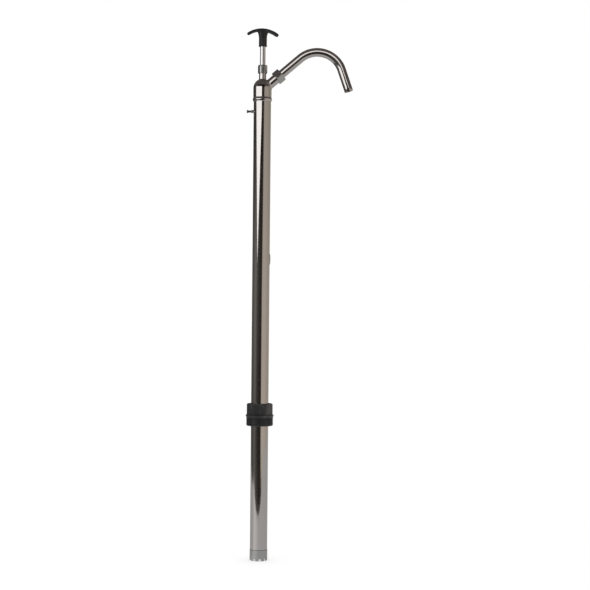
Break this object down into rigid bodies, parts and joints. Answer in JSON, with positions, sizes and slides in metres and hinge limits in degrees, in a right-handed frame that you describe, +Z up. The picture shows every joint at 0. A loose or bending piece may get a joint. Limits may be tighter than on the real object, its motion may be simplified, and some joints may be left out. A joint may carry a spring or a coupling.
{
  "type": "drum pump",
  "caption": "Hand lift pump for drums: steel barrel with foot valve, piston on a pull rod with T-handle, gooseneck spout and a sliding threaded bung adapter.",
  "frame": {"origin": "on the pump's axis at the adapter's seat, where its flange meets the drum's bung", "axes": "+Z up along the barrel, +X towards the spout, +Y away from the viewer of the spout's side"},
  "size_m": [0.2356, 0.0616, 1.17],
  "materials": {
    "polished_steel": "polished stainless steel",
    "rod_steel": "ground and polished steel",
    "satin_steel": "satin stainless steel, machined",
    "dark_steel": "dark oxidised steel",
    "inner_steel": "turned steel",
    "black_plastic": "black moulded plastic, soft gloss",
    "handle_plastic": "black moulded plastic, satin",
    "grip_rubber": "black rubber",
    "seal_plastic": "white fluoropolymer",
    "insert_brass": "turned brass"
  },
  "bodies": {
    "adapter": {"adapter_body": "black_plastic"},
    "clamp_nut": {"adapter_nut": "black_plastic"},
    "grip": {"grip_ring": "grip_rubber", "grip_washer": "inner_steel"},
    "barrel": {"suction_tube": "polished_steel", "foot_shell": "satin_steel", "foot_valve_cage": "inner_steel", "stop_button": "polished_steel", "bond_boss": "satin_steel", "head": "polished_steel", "head_collar": "polished_steel", "rod_guide": "seal_plastic", "gland_packing": "seal_plastic", "gland_follower": "inner_steel", "union_gasket": "seal_plastic"},
    "foot_valve": {"foot_valve_disc": "seal_plastic"},
    "ground_screw": {"bond_screw": "dark_steel"},
    "packing_nut": {"gland_nut": "satin_steel"},
    "outlet_nut": {"union_nut": "satin_steel"},
    "gooseneck": {"spout": "polished_steel", "spout_ferrule": "polished_steel"},
    "piston": {"piston_body": "inner_steel", "cup_seal_lower": "seal_plastic", "piston_spacer": "inner_steel", "cup_seal_upper": "seal_plastic", "piston_ring": "inner_steel"},
    "piston_valve": {"piston_valve_disc": "seal_plastic"},
    "pull_rod": {"rod": "rod_steel", "valve_stop": "inner_steel", "piston_washer": "inner_steel", "piston_nut": "inner_steel", "handle_insert": "insert_brass", "handle": "handle_plastic"}
  },
  "joints": [
    {"name": "pump_turn", "type": "hinge", "parent": "adapter", "child": "grip", "pos_m": [0, 0, 0.018], "axis": [0, 0, 1], "continuous": true},
    {"name": "pump_height", "type": "slide", "parent": "grip", "child": "barrel", "axis": [0, 0, 1], "range_m": [-0.63, 0.26]},
    {"name": "clamp_nut_turn", "type": "hinge", "parent": "adapter", "child": "clamp_nut", "pos_m": [0, 0, 0.015], "axis": [0, 0, 1], "continuous": true},
    {"name": "handle_lift", "type": "slide", "parent": "barrel", "child": "piston", "axis": [0, 0, 1], "range_m": [0, 0.585]},
    {"name": "handle_spin", "type": "hinge", "parent": "piston", "child": "pull_rod", "pos_m": [0, 0, -0.257], "axis": [0, 0, 1], "continuous": true},
    {"name": "foot_valve_lift", "type": "slide", "parent": "barrel", "child": "foot_valve", "axis": [0, 0, 1], "range_m": [0, 0.004]},
    {"name": "piston_valve_lift", "type": "slide", "parent": "piston", "child": "piston_valve", "axis": [0, 0, 1], "range_m": [0, 0.005]},
    {"name": "spout_swivel", "type": "hinge", "parent": "barrel", "child": "gooseneck", "pos_m": [0.03574, 0, 0.74742], "axis": [0.7604, 0, 0.6494], "range_deg": [-110, 110]},
    {"name": "union_nut_turn", "type": "hinge", "parent": "barrel", "child": "outlet_nut", "pos_m": [0.03574, 0, 0.74742], "axis": [0.7604, 0, 0.6494], "continuous": true},
    {"name": "gland_nut_turn", "type": "hinge", "parent": "barrel", "child": "packing_nut", "pos_m": [0, 0, 0.763], "axis": [0, 0, 1], "continuous": true},
    {"name": "bond_screw_turn", "type": "hinge", "parent": "barrel", "child": "ground_screw", "pos_m": [-0.03, 0, 0.67], "axis": [-1, 0, 0], "continuous": true}
  ]
}
